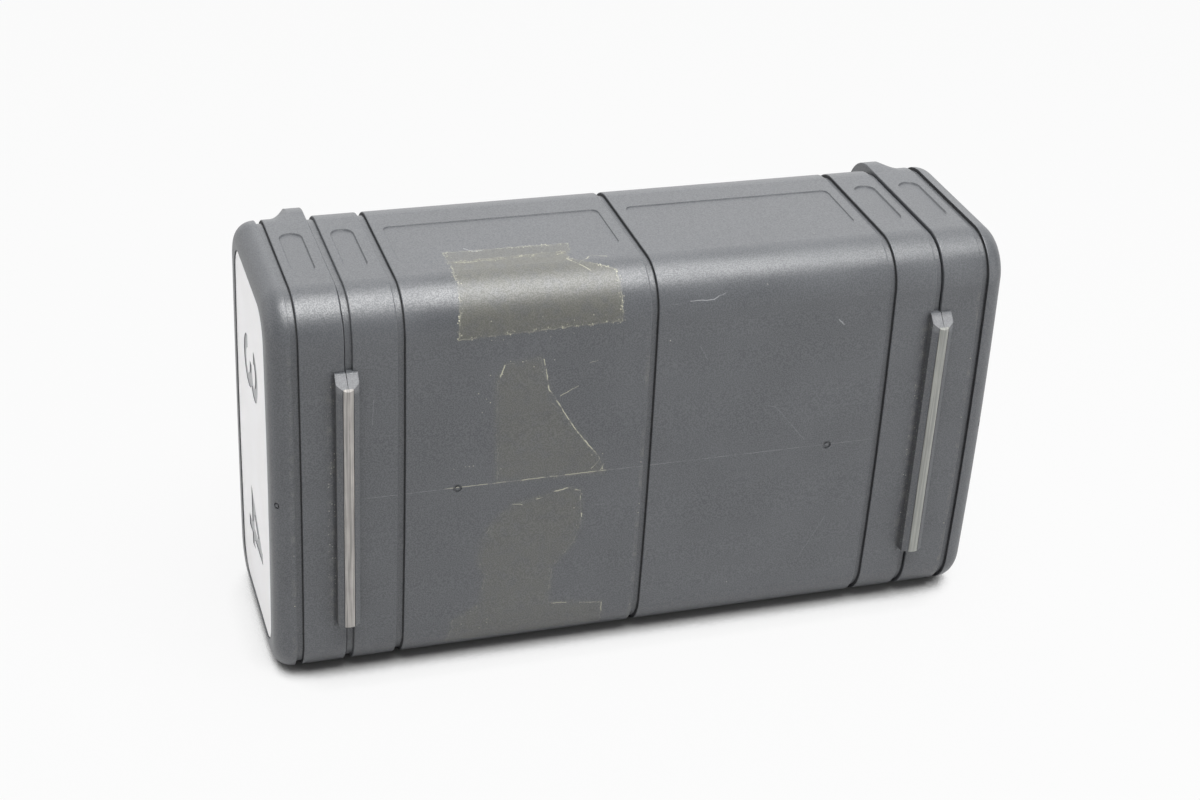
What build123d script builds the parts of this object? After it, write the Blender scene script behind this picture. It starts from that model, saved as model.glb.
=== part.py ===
from build123d import *
from math import cos, radians, sin, sqrt
import os

# Lead-lined case for four 35 mm films in their cans, in millimetres.
# +X runs along the case, +Y points away from the hinges, +Z is up.
# The origin is the bottom centre of the overall box.

# Overall shell
case_length = 135.0
case_height = 76.0
case_depth = 42.8
corner_radius = 8.5
face_crown_radius = 680.0
end_radius = 3.6
edge_round = 0.22

# Lids and the lines that run round the case
lid_depth = 12.85
parting_gap = 0.2
groove_width = 1.25
groove_depth = 0.65
body_groove_from_parting = 9.7
lid_groove_from_end = 4.4
rim_step_length = 1.25

# Walls, from outside to inside
shell_wall = 2.0
middle_wall = 2.5
lead_thickness = 0.5
liner_wall = 0.9
seat_gap = 0.05

# Tongue on the body that the lids close over, with its detent bead
tongue_inset = 1.15
tongue_thickness = 0.7
tongue_reach = 1.3
tongue_gap = 0.15
tongue_front_y = -8.0
bead_height = 0.08
bead_width = 0.7
bead_length = 40.0

# Film cans that the cells hold
can_length = 51.5
can_play = 1.1
cell_divider = 0.9
cell_corner = 1.5
flange_thickness = 0.5
seam_width = 0.3

# Hinge ridges on the front face
ridge_half_width = 2.0
ridge_shoulder = 1.3
ridge_shoulder_inner = 1.0
ridge_crest = 2.31
ridge_notch = 0.07
ridge_root = 1.5
ridge_half_length = 25.4
ridge_top_slope = 1.05
ridge_bottom_slope = 0.15
web_half_width = 0.86
web_thickness = 0.38
web_rise = 0.2
leaf_crack_at_crest = 0.03

# Thumb lips on the back of the lids
lip_height = 3.9
lip_crest_length = 3.0
lip_flare_length = 3.55
lip_flare_run = 1.15
lip_flare_drop = 2.15
lip_flare_sole = 1.7
lip_seat = 0.02
lip_edge_round = 0.2

# Shallow recesses in the narrow faces
oval_width = 3.8
oval_length = 15.3
oval_depth = 0.28
oval_body_from_parting = 4.85
oval_lid_from_parting = 4.2
label_middle_margin = 2.75
label_groove_margin = 2.65
label_width = 14.2
label_depth = 0.2
label_corner = 1.2
recess_wall_slope = 35.0

# Number plates let into the lid ends
plate_half_depth = 16.1
plate_half_height = 33.9
plate_crown_radius = 450.0
plate_corner = 5.5
plate_thickness = 0.8
plate_sink = 0.2
plate_gap = 0.15
plate_edge_round = 0.15
numeral_depth = 0.2
numeral_height = 14.6
numeral_width = 10.0
numeral_stroke = 2.6
numeral_from_middle = 16.8
numeral_shift_y = 0.6
numeral_shift_z = -0.8
numeral_flag = 3.0
numeral_neck_angle = 35.0
numeral_bowl_start = -105.0
numeral_bowl_sweep = 285.0
numeral_bowl_difference = 0.3
numeral_four_width = 11.6
numeral_stem_offset = 2.4
numeral_bar_drop = 2.75

# Gate marks left by moulding
gate_mark_from_parting = 19.65
gate_mark_radius = 0.8
gate_mark_depth = 0.25
gate_nub_radius = 0.32
lid_gate_angle = 40.0
lid_gate_radius = 0.6
lid_gate_depth = 0.3

# Places worked out from the sizes above
half_length = case_length / 2
half_height = case_height / 2
half_depth = case_depth / 2
parting_x = half_length - lid_depth
body_end_x = parting_x - parting_gap / 2
lid_start_x = parting_x + parting_gap / 2
body_groove_x = parting_x - body_groove_from_parting
lid_groove_x = half_length - lid_groove_from_end
lip_crest_x = lid_start_x + lip_crest_length
lip_foot_x = lip_crest_x + lip_flare_length
oval_body_x = parting_x - oval_body_from_parting
oval_lid_x = parting_x + oval_lid_from_parting
label_outer_x = body_groove_x - label_groove_margin
gate_mark_x = parting_x - gate_mark_from_parting
lead_inset = shell_wall + seat_gap
liner_inset = lead_inset + lead_thickness + seat_gap
cell_inset = liner_inset + liner_wall
body_lead_x = middle_wall / 2 + seat_gap
body_tray_x = body_lead_x + lead_thickness + seat_gap
lid_wall_x = half_length - shell_wall
lid_lead_x = lid_wall_x - seat_gap - lead_thickness
lid_pan_x = lid_lead_x - seat_gap
pan_floor_x = lid_pan_x - liner_wall
cell_floor_x = pan_floor_x - can_play - can_length
body_lead_end_x = body_end_x - flange_thickness - seat_gap
lid_lead_start_x = lid_start_x + flange_thickness + seat_gap
tongue_end_x = parting_x + tongue_reach
lid_rebate_x = tongue_end_x + tongue_gap
to_base = Pos(0, (ridge_crest - lip_height) / 2, half_height)

SIDES = {"left": -1, "right": 1}
NUMERALS = {"left": {1: "3", -1: "4"}, "right": {1: "2", -1: "1"}}


def bowed_outline(half_h, front, back, crown, corner):
    """Upright outline with round corners, whose two long sides bow outwards."""
    drop = crown - sqrt(crown**2 - half_h**2)
    front_edge, back_edge = drop - front, back - drop
    outline = [
        Line((front_edge, half_h), (back_edge, half_h)),
        ThreePointArc((back_edge, half_h), (back, 0), (back_edge, -half_h)),
        Line((back_edge, -half_h), (front_edge, -half_h)),
        ThreePointArc((front_edge, -half_h), (-front, 0), (front_edge, half_h)),
    ]
    face = make_face(Curve() + outline)
    return fillet(face.vertices(), corner)


def section(inset=0.0, back_extra=0.0):
    """Upright cross-section of the case, set in evenly from its outer skin."""
    front = half_depth - inset
    crown = face_crown_radius - inset
    return bowed_outline(half_height - inset, front, front + back_extra, crown, corner_radius - inset)


def band(x0, x1, inset=0.0, back_extra=0.0):
    """Solid slice of the case between two places along its length."""
    start = Plane.YZ.offset(min(x0, x1))
    return extrude(start * section(inset, back_extra), abs(x1 - x0))


def ring(x0, x1, inset, thickness):
    """Hollow slice that follows the walls."""
    return band(x0, x1, inset) - band(x0, x1, inset + thickness)


def end_loop(solid, x):
    """Edges of a band that lie in the plane across the case at x."""
    return solid.edges().filter_by_position(Axis.X, x - 0.001, x + 0.001)


def raised_band(x0, x1):
    """Band that stands above the groove floors, with softened edges."""
    solid = band(x0, x1)
    for x in (x0, x1):
        solid = fillet(end_loop(solid, x), edge_round)
    return solid


def upright(profile, z0, z1):
    """Extrudes a plan outline, drawn in X and Y, between two heights."""
    return extrude(Pos(0, 0, z0) * profile, z1 - z0)


def mirrored(solid, side):
    """Returns a piece drawn for the right end, or its mirror image for the left."""
    return solid if side > 0 else mirror(solid, Plane.YZ)


def ridge_ends():
    """Block that trims a hinge ridge to its length and slopes its two ends."""
    reach = ridge_crest + 1.0
    front = -half_depth
    outline = Polyline(
        (front + ridge_root, ridge_half_length),
        (front, ridge_half_length),
        (front - reach, ridge_half_length - reach * ridge_top_slope),
        (front - reach, -ridge_half_length + reach * ridge_bottom_slope),
        (front, -ridge_half_length),
        (front + ridge_root, -ridge_half_length),
        close=True,
    )
    width = 2 * (ridge_half_width + 1.0)
    return extrude(Plane.YZ.offset(parting_x - width / 2) * make_face(outline), width)


def ridge_leaf(direction):
    """Half of the right hinge ridge, towards the lid for +1 and the body for -1."""
    web_floor = ridge_crest - web_thickness
    shoulder = ridge_crest - web_rise - ridge_notch
    points = [
        (parting_gap / 2, -ridge_root),
        (ridge_half_width, -ridge_root),
        (ridge_half_width, ridge_shoulder),
        (ridge_shoulder_inner, shoulder),
        (ridge_shoulder_inner - ridge_notch, web_floor),
        (leaf_crack_at_crest, web_floor),
    ]
    outline = [(parting_x + direction * u, -half_depth - v) for u, v in points]
    leaf = upright(make_face(Polyline(*outline, close=True)), -ridge_half_length, ridge_half_length)
    return leaf & ridge_ends()


def hinge_web():
    """Thin bridge at the crest of the right hinge ridge, slightly arched."""
    crest = -(half_depth + ridge_crest)
    shoulder = crest + web_rise
    floor = crest + web_thickness
    left, right = parting_x - web_half_width, parting_x + web_half_width
    outline = [
        Line((left, floor), (right, floor)),
        Line((right, floor), (right, shoulder)),
        ThreePointArc((right, shoulder), (parting_x, crest), (left, shoulder)),
        Line((left, shoulder), (left, floor)),
    ]
    web = upright(make_face(Curve() + outline), -ridge_half_length, ridge_half_length)
    return web & ridge_ends()


def tongue():
    """Ledge inside the right mouth that the lid closes over, open on the hinge side."""
    ledge = ring(body_end_x - shell_wall, tongue_end_x, tongue_inset, tongue_thickness)
    hinge_side = Pos(parting_x, tongue_front_y - half_depth, 0) * Box(20, 2 * half_depth, case_height)
    bead_x = (lid_start_x + tongue_end_x) / 2
    bead = ring(bead_x - bead_width / 2, bead_x + bead_width / 2, tongue_inset - bead_height, tongue_thickness)
    bead &= Pos(bead_x, half_depth, 0) * Box(bead_width, corner_radius, bead_length)
    return (ledge - hinge_side) + bead


def sloped_recess(outline, depth, x, face):
    """Cutter for a shallow recess with sloped walls, in the top for face +1 or the bottom for -1."""
    cutter = extrude(Pos(0, 0, -depth) * outline, 2 * depth, taper=-recess_wall_slope)
    if face < 0:
        cutter = mirror(cutter, Plane.XY)
    return Pos(x, 0, face * half_height) * cutter


def oval_recess(x, face):
    """Cutter for a long oval in a narrow face of the case."""
    return sloped_recess(SlotOverall(oval_length, oval_width, rotation=90), oval_depth, x, face)


def label_recess():
    """Cutter for the right label panel on top of the case."""
    outline = RectangleRounded(label_outer_x - label_middle_margin, label_width, label_corner)
    return sloped_recess(outline, label_depth, (label_outer_x + label_middle_margin) / 2, 1)


def gate_mark():
    """Cutter for a small ring-shaped gate scar on the front face."""
    scar = Cylinder(gate_mark_radius, 2 * gate_mark_depth) - Cylinder(gate_nub_radius, 2 * gate_mark_depth)
    return Pos(gate_mark_x, -half_depth, 0) * Rot(90, 0, 0) * scar


def lid_gate_mark():
    """Cutter for the gate scar in the rounded front edge of the right lid's end."""
    turn = radians(lid_gate_angle)
    x = half_length - end_radius + end_radius * cos(turn)
    y = -half_depth + end_radius - end_radius * sin(turn)
    scar = Cylinder(lid_gate_radius, 2 * lid_gate_depth) - Cylinder(gate_nub_radius, 2 * lid_gate_depth)
    return Pos(x, y, 0) * Rot(0, 0, -lid_gate_angle) * Rot(0, 90, 0) * scar


def make_body_shell():
    """Body moulding: two cups back to back on one middle wall."""
    half_groove = groove_width / 2
    rim_x = parting_x - rim_step_length
    shell = band(-body_end_x, body_end_x, groove_depth)
    for side in SIDES.values():
        panel = raised_band(half_groove, body_groove_x - half_groove)
        collar = raised_band(body_groove_x + half_groove, rim_x)
        shell += mirrored(panel, side)
        shell += mirrored(collar, side)
    for side in SIDES.values():
        shell -= mirrored(band(middle_wall / 2, parting_x, shell_wall), side)
        shell -= mirrored(label_recess(), side)
        shell -= mirrored(gate_mark(), side)
        for face in (-1, 1):
            shell -= mirrored(oval_recess(oval_body_x, face), side)
        shell += mirrored(tongue(), side)
        shell += mirrored(ridge_leaf(-1), side)
    return shell


def lip_section():
    """Back part of the lid's cross-section, moved out by the lip's height."""
    half_h = half_height - lip_seat
    drop = face_crown_radius - sqrt(face_crown_radius**2 - half_h**2)
    middle = half_depth - lip_seat + lip_height
    root = half_depth - corner_radius
    outline = [
        Line((root, half_h), (middle - drop, half_h)),
        ThreePointArc((middle - drop, half_h), (middle, 0), (middle - drop, -half_h)),
        Line((middle - drop, -half_h), (root, -half_h)),
        Line((root, -half_h), (root, half_h)),
    ]
    face = make_face(Curve() + outline)
    return fillet(face.vertices().group_by(Axis.X)[-1], corner_radius)


def lip_flare():
    """Plan line of the lip's outer side: steep below the crest, then easing into the face."""
    crest, foot = half_depth + lip_height, half_depth - lip_seat
    return Bezier(
        (lip_crest_x, crest),
        (lip_crest_x + lip_flare_run, crest - lip_flare_drop),
        (lip_foot_x - lip_flare_sole, foot),
        (lip_foot_x, foot),
    )


def thumb_lip():
    """Lip along the back of the right lid: a flat crest and a hollow flare down to the face."""
    crest = extrude(Plane.YZ.offset(lid_start_x) * lip_section(), lip_crest_length)
    flare = sweep(Plane.YZ.offset(lip_crest_x) * lip_section(), path=lip_flare(), normal=(1, 0, 0))
    lip = crest + flare
    back_loop = end_loop(lip, lid_start_x).filter_by(lambda edge: edge.center().Y > half_depth - corner_radius)
    return fillet(back_loop, lip_edge_round)


def plate_outline(margin=0.0):
    """Outline of the number plate, grown by a margin."""
    reach = plate_half_depth + margin
    crown = plate_crown_radius + margin
    return bowed_outline(plate_half_height + margin, reach, reach, crown, plate_corner + margin)


def make_lid_shell():
    """Right lid moulding, hollow towards the body."""
    half_groove = groove_width / 2
    shell = band(lid_start_x, half_length - end_radius, groove_depth)
    shell += raised_band(lid_start_x, lid_groove_x - half_groove)
    cap = band(lid_groove_x + half_groove, half_length)
    cap = fillet(end_loop(cap, half_length), end_radius)
    shell += fillet(end_loop(cap, lid_groove_x + half_groove), edge_round / 2)
    shell += thumb_lip()
    shell -= band(lid_start_x, lid_rebate_x, tongue_inset - tongue_gap)
    shell -= band(lid_start_x, lid_wall_x, shell_wall)
    recess_depth = plate_thickness + plate_sink
    shell -= extrude(Plane.YZ.offset(half_length - recess_depth) * plate_outline(plate_gap), recess_depth)
    for face in (-1, 1):
        shell -= oval_recess(oval_lid_x, face)
    shell -= lid_gate_mark()
    shell += ridge_leaf(1)
    return shell


def stroke_arc(centre, radius_x, radius_y, start, sweep):
    """Round stroke of a numeral, about a centre in its own plane."""
    arc = EllipticalCenterArc(centre, radius_x, radius_y, start, arc_size=sweep)
    return trace(arc, numeral_stroke)


def stroke_line(*points):
    """Straight stroke of a numeral through the given points."""
    return trace(Polyline(*points), numeral_stroke)


def numeral_one():
    """The numeral 1: an upright with a short flag."""
    top = (numeral_height - numeral_stroke) / 2
    stem = numeral_flag / 2
    upright_stroke = stroke_line((stem, -top - numeral_stroke / 2), (stem, top + numeral_stroke / 2))
    return upright_stroke + stroke_line((stem, top), (-numeral_flag, top - numeral_flag))


def numeral_two():
    """The numeral 2: a round head, a slanted neck and a flat foot."""
    radius = (numeral_width - numeral_stroke) / 2
    top = (numeral_height - numeral_stroke) / 2
    head = (0, top - radius)
    neck = radians(numeral_neck_angle)
    joint = (radius * cos(neck), top - radius - radius * sin(neck))
    foot = (-radius, -top)
    shape = stroke_arc(head, radius, radius, -numeral_neck_angle, 180 + numeral_neck_angle)
    shape += stroke_line(joint, foot, (radius + numeral_stroke / 2, -top))
    return shape


def numeral_three():
    """The numeral 3: two wide bowls that meet in the middle."""
    top = (numeral_height - numeral_stroke) / 2
    reach = (numeral_width - numeral_stroke) / 2
    upper_radius = (top - numeral_bowl_difference) / 2
    lower_radius = (top + numeral_bowl_difference) / 2
    upper = (0, top - upper_radius)
    lower = (0, -top + lower_radius)
    lower_start = -numeral_bowl_start - numeral_bowl_sweep
    shape = stroke_arc(upper, reach, upper_radius, numeral_bowl_start, numeral_bowl_sweep)
    shape += stroke_arc(lower, reach, lower_radius, lower_start, numeral_bowl_sweep)
    return shape


def numeral_four():
    """The numeral 4: an upright, a slanted stroke and a crossbar."""
    top = (numeral_height - numeral_stroke) / 2
    stem = numeral_stem_offset
    right = numeral_four_width / 2
    left = numeral_stroke / 2 - right
    shape = stroke_line((stem, top + numeral_stroke / 2), (stem, -top - numeral_stroke / 2))
    shape += stroke_line((stem, top), (left, -numeral_bar_drop), (right, -numeral_bar_drop))
    return shape


NUMERAL_SHAPES = {"1": numeral_one, "2": numeral_two, "3": numeral_three, "4": numeral_four}


def make_number_plate(side, numerals):
    """Number plate with engraved numerals, whose tops point to the hinge side."""
    outer_x = half_length - plate_sink
    plate = extrude(Plane.YZ.offset(outer_x - plate_thickness) * plate_outline(), plate_thickness)
    plate = fillet(plate.edges().filter_by_position(Axis.X, outer_x - 0.001, outer_x + 0.001), plate_edge_round)
    plate = mirrored(plate, side)
    for place, numeral in numerals.items():
        middle = (side * outer_x, numeral_shift_y, numeral_shift_z + place * numeral_from_middle)
        face = Plane(origin=middle, x_dir=(0, 0, side), z_dir=(side, 0, 0))
        plate -= extrude(face * NUMERAL_SHAPES[numeral](), numeral_depth, both=True)
    return plate


def make_film_tray():
    """Right film tray: two cells over a raised floor, and a flange at the mouth."""
    tray = band(body_tray_x, body_end_x, liner_inset)
    tray += band(body_end_x - flange_thickness, body_end_x, lead_inset)
    hollow = band(cell_floor_x, body_end_x, cell_inset)
    hollow -= Pos(parting_x / 2, 0, 0) * Box(parting_x, case_depth, cell_divider)
    for cell in hollow.solids():
        beside_divider = cell.edges().filter_by(Axis.X).sort_by(lambda edge: abs(edge.center().Z))[:2]
        tray -= fillet(beside_divider, cell_corner)
    tray -= band(body_tray_x, cell_floor_x - liner_wall, cell_inset)
    return tray


def make_lid_pan():
    """Right lid pan: lines the lid and ends in a flange over the edge of the lead."""
    pan = band(lid_start_x, lid_pan_x, liner_inset)
    pan += band(lid_start_x, lid_start_x + flange_thickness, lead_inset)
    pan -= band(lid_start_x, pan_floor_x, cell_inset)
    return pan


def lead_wrap(x0, x1):
    """Lead strip folded round the four walls, with its seam at the back."""
    seam = Pos((x0 + x1) / 2, half_depth, 0) * Box(x1 - x0, 2 * cell_inset, seam_width)
    return ring(x0, x1, lead_inset, lead_thickness) - seam


def build_parts():
    """Returns every sub-part by its node name, in the case's own frame."""
    parts = {"body_shell": make_body_shell()}
    for name, side in SIDES.items():
        parts[f"{name}_hinge_web"] = mirrored(hinge_web(), side)
        parts[f"{name}_film_tray"] = mirrored(make_film_tray(), side)
        parts[f"{name}_body_lead_wrap"] = mirrored(lead_wrap(body_tray_x, body_lead_end_x), side)
        floor = band(body_lead_x, body_lead_x + lead_thickness, lead_inset)
        parts[f"{name}_body_lead_floor"] = mirrored(floor, side)
        parts[f"{name}_lid_shell"] = mirrored(make_lid_shell(), side)
        parts[f"{name}_lid_lead_wrap"] = mirrored(lead_wrap(lid_lead_start_x, lid_pan_x), side)
        sheet = band(lid_lead_x, lid_lead_x + lead_thickness, lead_inset)
        parts[f"{name}_lid_lead_sheet"] = mirrored(sheet, side)
        parts[f"{name}_lid_pan"] = mirrored(make_lid_pan(), side)
        parts[f"{name}_number_plate"] = make_number_plate(side, NUMERALS[name])
    return parts


os.makedirs("parts", exist_ok=True)
for node, solid in build_parts().items():
    export_step(to_base * solid, f"parts/{node}.step")
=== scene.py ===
"""Dresses the lead-lined film case: its mouldings, hinge webs, number plates, trays and lead.

Lengths in the classes are real millimetres in the case's own frame: +X along the case, +Y away from the
hinges, +Z up, origin at the bottom centre. They become metres where a mesh or a material needs them.
"""

import logging
import math
from collections.abc import Iterable, Sequence
from dataclasses import dataclass, field, replace
from enum import Enum
from functools import cached_property, reduce

import bmesh
import bpy
from mathutils import Matrix, Vector

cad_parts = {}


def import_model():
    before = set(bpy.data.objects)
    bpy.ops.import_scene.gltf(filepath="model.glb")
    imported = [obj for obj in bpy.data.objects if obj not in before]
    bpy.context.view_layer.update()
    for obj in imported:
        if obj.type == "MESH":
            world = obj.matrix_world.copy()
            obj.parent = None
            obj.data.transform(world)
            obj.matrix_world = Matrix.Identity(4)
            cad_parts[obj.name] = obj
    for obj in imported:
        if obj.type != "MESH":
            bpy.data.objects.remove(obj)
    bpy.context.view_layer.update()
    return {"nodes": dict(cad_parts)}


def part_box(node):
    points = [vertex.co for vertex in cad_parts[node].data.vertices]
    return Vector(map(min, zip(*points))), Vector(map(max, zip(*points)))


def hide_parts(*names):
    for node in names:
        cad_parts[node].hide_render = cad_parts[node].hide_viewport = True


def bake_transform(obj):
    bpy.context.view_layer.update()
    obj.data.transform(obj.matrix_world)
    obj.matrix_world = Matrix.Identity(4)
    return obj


LOG = logging.getLogger("film_case")
MM = 0.001

Point = tuple[float, float]
Stroke = tuple[Point, Point]
Outline = tuple[Point, ...]
Socket = bpy.types.NodeSocket
Value = float | Socket
Entry = Value | Vector | tuple[float, ...]
SMOOTH = {"interpolation_type": "SMOOTHSTEP"}
# Steps in Y from one to nothing, for marks on the front half and on the front face alone
FRONT_HALF = (-1.5, -1.0, 1.0, 0.0)
FRONT_FACE = (-15.0, -14.0, 1.0, 0.0)


class Side(Enum):
    """The two ends of the case, by the sign of X."""

    LEFT = -1
    RIGHT = 1

    @property
    def label(self) -> str:
        """Word that starts the names of this end's pieces."""
        return self.name.lower()

    @property
    def lid(self) -> str:
        """Name of the body that this end's lid pieces ride on."""
        return f"{self.label}_lid"


def linear_colour(hex_value: str) -> tuple[float, float, float, float]:
    """Turns an sRGB hex colour into the linear colour that shaders take.

    Args:
        hex_value: Six hex digits after a hash sign.

    Returns:
        Linear red, green and blue, and an alpha of 1.
    """
    channels = [int(hex_value[i : i + 2], 16) / 255 for i in (1, 3, 5)]
    linear = [c / 12.92 if c <= 0.04045 else ((c + 0.055) / 1.055) ** 2.4 for c in channels]
    return (*linear, 1.0)


def add_node(tree: bpy.types.NodeTree, kind: str, inputs: dict | None = None, **settings) -> bpy.types.Node:
    """Adds one node with its settings, values and links.

    Args:
        tree: Node tree that gets the node.
        kind: Blender's name for the node type.
        inputs: Values or sockets by input name or number.
        **settings: Properties of the node.

    Returns:
        The new node.
    """
    node = tree.nodes.new(kind)
    for name, value in settings.items():
        setattr(node, name, value)
    for key, value in (inputs or {}).items():
        if isinstance(value, Socket):
            tree.links.new(value, node.inputs[key])
        else:
            node.inputs[key].default_value = value
    return node


@dataclass
class Coat:
    """Colour, roughness and relief in millimetres of a surface, while marks are laid on it."""

    colour: Entry
    roughness: Value
    relief: Value = 0.0

    def stain(self, r: "Recipe", share: Value, colour: str) -> None:
        """Tints the surface where share is above nothing."""
        colours = {6: self.colour, 7: linear_colour(colour)}
        self.colour = r.put("ShaderNodeMix", share, inputs=colours, output=2, data_type="RGBA")

    def dull(self, r: "Recipe", share: Value, roughness: float) -> None:
        """Takes the surface to another roughness where share is above nothing."""
        self.roughness = r.put("ShaderNodeMix", share, inputs={2: self.roughness, 3: roughness})

    def raise_by(self, r: "Recipe", share: Value, height: float) -> None:
        """Lifts the surface by a height in millimetres, or sinks it by a negative one."""
        self.relief = r.put("ShaderNodeMath", share, height, self.relief, operation="MULTIPLY_ADD")


class Recipe:
    """Node tree of one material, whose patterns are measured in millimetres on the object."""

    front_y = -22.2
    middle_z = 38.0
    gap_size = 1.8
    wave_size = 1.1
    faintest_speck = 0.3

    def __init__(self, name: str) -> None:
        """Makes an empty material and reads the place on the object."""
        self.material = bpy.data.materials.new(name)
        self.material.use_nodes = True
        self.tree = self.material.node_tree
        self.tree.nodes.clear()
        on_object = self.put("ShaderNodeTexCoord", output="Object")
        self.place = self.put("ShaderNodeVectorMath", on_object, inputs={"Scale": 1 / MM}, operation="SCALE")
        self.x, self.y, self.z = add_node(self.tree, "ShaderNodeSeparateXYZ", {0: self.place}).outputs

    def put(
        self, kind: str, *values: Entry, inputs: dict | None = None, output: int | str = 0, **settings
    ) -> Socket:
        """Adds one node to the material and gives one of its outputs.

        Args:
            kind: Blender's name for the node type.
            *values: Values or sockets of the first inputs, in order.
            inputs: Values or sockets of other inputs, by name or number.
            output: Name or number of the output.
            **settings: Properties of the node.

        Returns:
            The output.
        """
        entries = {**dict(enumerate(values)), **(inputs or {})}
        return add_node(self.tree, kind, entries, **settings).outputs[output]

    def fold(self, operation: str, values: Iterable[Value]) -> Socket:
        """Joins any number of values in a row with one arithmetic step, such as MINIMUM."""
        return reduce(lambda one, other: self.put("ShaderNodeMath", one, other, operation=operation), values)

    def overlap(self, *shares: Value) -> Socket:
        """Share of the surface where all the given shares meet, which is their product."""
        return self.fold("MULTIPLY", shares)

    def band(self, value: Socket, centre: float, half_width: float, edge: float) -> Socket:
        """One where a value lies within half_width of centre, falling to nothing over edge."""
        offset = self.put("ShaderNodeMath", value, centre, operation="SUBTRACT")
        away = self.put("ShaderNodeMath", offset, operation="ABSOLUTE")
        return self.put("ShaderNodeMapRange", away, half_width, half_width + edge, 1.0, 0.0, **SMOOTH)

    def patches(self, size: float, detail: float, fade: Point, levels: Point = (0.0, 1.0)) -> Socket:
        """Cloudy patches over the surface.

        Args:
            size: Rough size of a patch in millimetres.
            detail: How far the clouds break up into finer ones.
            fade: Densities of the cloud between which a patch fades in.
            levels: Values outside and inside a patch.

        Returns:
            A value between the two levels.
        """
        cloud = self.put("ShaderNodeTexNoise", self.place, inputs={"Scale": 1 / size, "Detail": detail})
        return self.put("ShaderNodeMapRange", cloud, *fade, *levels, **SMOOTH)

    def specks(self, spacing: float, radius: float, share: float) -> Socket:
        """Scattered round dots of uneven strength.

        Args:
            spacing: Size in millimetres of the cells that hold one dot each.
            radius: Radius of a dot in millimetres.
            share: Share of the cells that have a dot.

        Returns:
            One in the middle of the strongest dots, nothing between dots.
        """
        cells = add_node(self.tree, "ShaderNodeTexVoronoi", {"Vector": self.place, "Scale": 1 / spacing})
        edge = radius / spacing
        dot = self.put("ShaderNodeMapRange", cells.outputs["Distance"], 0.5 * edge, edge, 1.0, 0.0, **SMOOTH)
        chance = add_node(self.tree, "ShaderNodeSeparateColor", {0: cells.outputs["Color"]})
        chosen = self.put("ShaderNodeMath", chance.outputs[0], 1.0 - share, operation="GREATER_THAN")
        uneven = (chance.outputs[1], 1.0 - self.faintest_speck, self.faintest_speck)
        strength = self.put("ShaderNodeMath", *uneven, operation="MULTIPLY_ADD")
        return self.overlap(dot, chosen, strength)

    @cached_property
    def gaps(self) -> Socket:
        """Broken pattern that leaves gaps of a few millimetres in rims, threads and lines."""
        return self.put("ShaderNodeTexNoise", self.place, inputs={"Scale": 1 / self.gap_size, "Detail": 3.0})

    @cached_property
    def crumbs(self) -> Socket:
        """Fine crowded dots, under half a millimetre across."""
        return self.specks(0.42, 0.2, 0.5)

    @cached_property
    def waves(self) -> Socket:
        """Colour noise that pushes outlines and strokes about, in waves a millimetre or so long."""
        scales = {"Scale": 1 / self.wave_size, "Detail": 3.0}
        return self.put("ShaderNodeTexNoise", self.place, inputs=scales, output="Color")

    @cached_property
    def unrolled(self) -> Socket:
        """Front face laid flat with the faces above and below it: X, then the way up it, then a one."""
        behind_front = self.put("ShaderNodeMath", self.y, self.front_y, operation="SUBTRACT")
        above = self.put("ShaderNodeMath", self.z, self.middle_z, operation="SUBTRACT")
        outward = self.put("ShaderNodeMath", above, operation="SIGN")
        way_up = self.put("ShaderNodeMath", behind_front, outward, self.z, operation="MULTIPLY_ADD")
        return self.put("ShaderNodeCombineXYZ", self.x, way_up, 1.0)

    def swayed(self, reach: float) -> Socket:
        """The unrolled place moved about by up to half of reach millimetres."""
        shift = Vector((reach, reach, 0.0))
        start = self.put("ShaderNodeVectorMath", self.unrolled, shift / 2, operation="SUBTRACT")
        return self.put("ShaderNodeVectorMath", self.waves, shift, start, operation="MULTIPLY_ADD")

    def depth_inside(self, place: Socket, outline: Outline) -> Socket:
        """Distance in millimetres from an unrolled place to the nearest side of an outline.

        Args:
            place: Unrolled place, with a one as its third number.
            outline: Corners of a bulging outline, anticlockwise.

        Returns:
            The distance, positive inside the outline.
        """
        depths = []
        for start, end in zip(outline, outline[1:] + outline[:1]):
            side = (Vector(end) - Vector(start)).normalized()
            inward = Vector((-side.y, side.x))
            plane = (inward.x, inward.y, -inward.dot(Vector(start)))
            depth = self.put("ShaderNodeVectorMath", place, plane, output="Value", operation="DOT_PRODUCT")
            depths.append(depth)
        return self.fold("MINIMUM", depths)

    def from_stroke(self, place: Socket, stroke: Stroke) -> Socket:
        """Distance in millimetres from an unrolled place to a straight stroke."""
        start, end = (Vector((*point, 1.0)) for point in stroke)
        run = end - start
        out = self.put("ShaderNodeVectorMath", place, start, operation="SUBTRACT")
        per_length = run / run.length_squared
        along = self.put("ShaderNodeVectorMath", out, per_length, output="Value", operation="DOT_PRODUCT")
        share = self.put("ShaderNodeClamp", along)
        foot = self.put("ShaderNodeVectorMath", run, inputs={"Scale": share}, operation="SCALE")
        return self.put("ShaderNodeVectorMath", out, foot, output="Value", operation="DISTANCE")

    def finish(self, coat: Coat, **settings: Value) -> bpy.types.Material:
        """Ends the tree with one surface shader.

        Args:
            coat: Colour, roughness and relief of the surface.
            **settings: Values of other inputs, with spaces written as underscores.

        Returns:
            The finished material.
        """
        normal = self.put("ShaderNodeBump", inputs={"Height": coat.relief, "Distance": MM})
        sockets = {"Base Color": coat.colour, "Roughness": coat.roughness, "Normal": normal}
        sockets.update({name.replace("_", " "): value for name, value in settings.items()})
        surface = self.put("ShaderNodeBsdfPrincipled", inputs=sockets)
        add_node(self.tree, "ShaderNodeOutputMaterial", {"Surface": surface})
        return self.material


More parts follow.
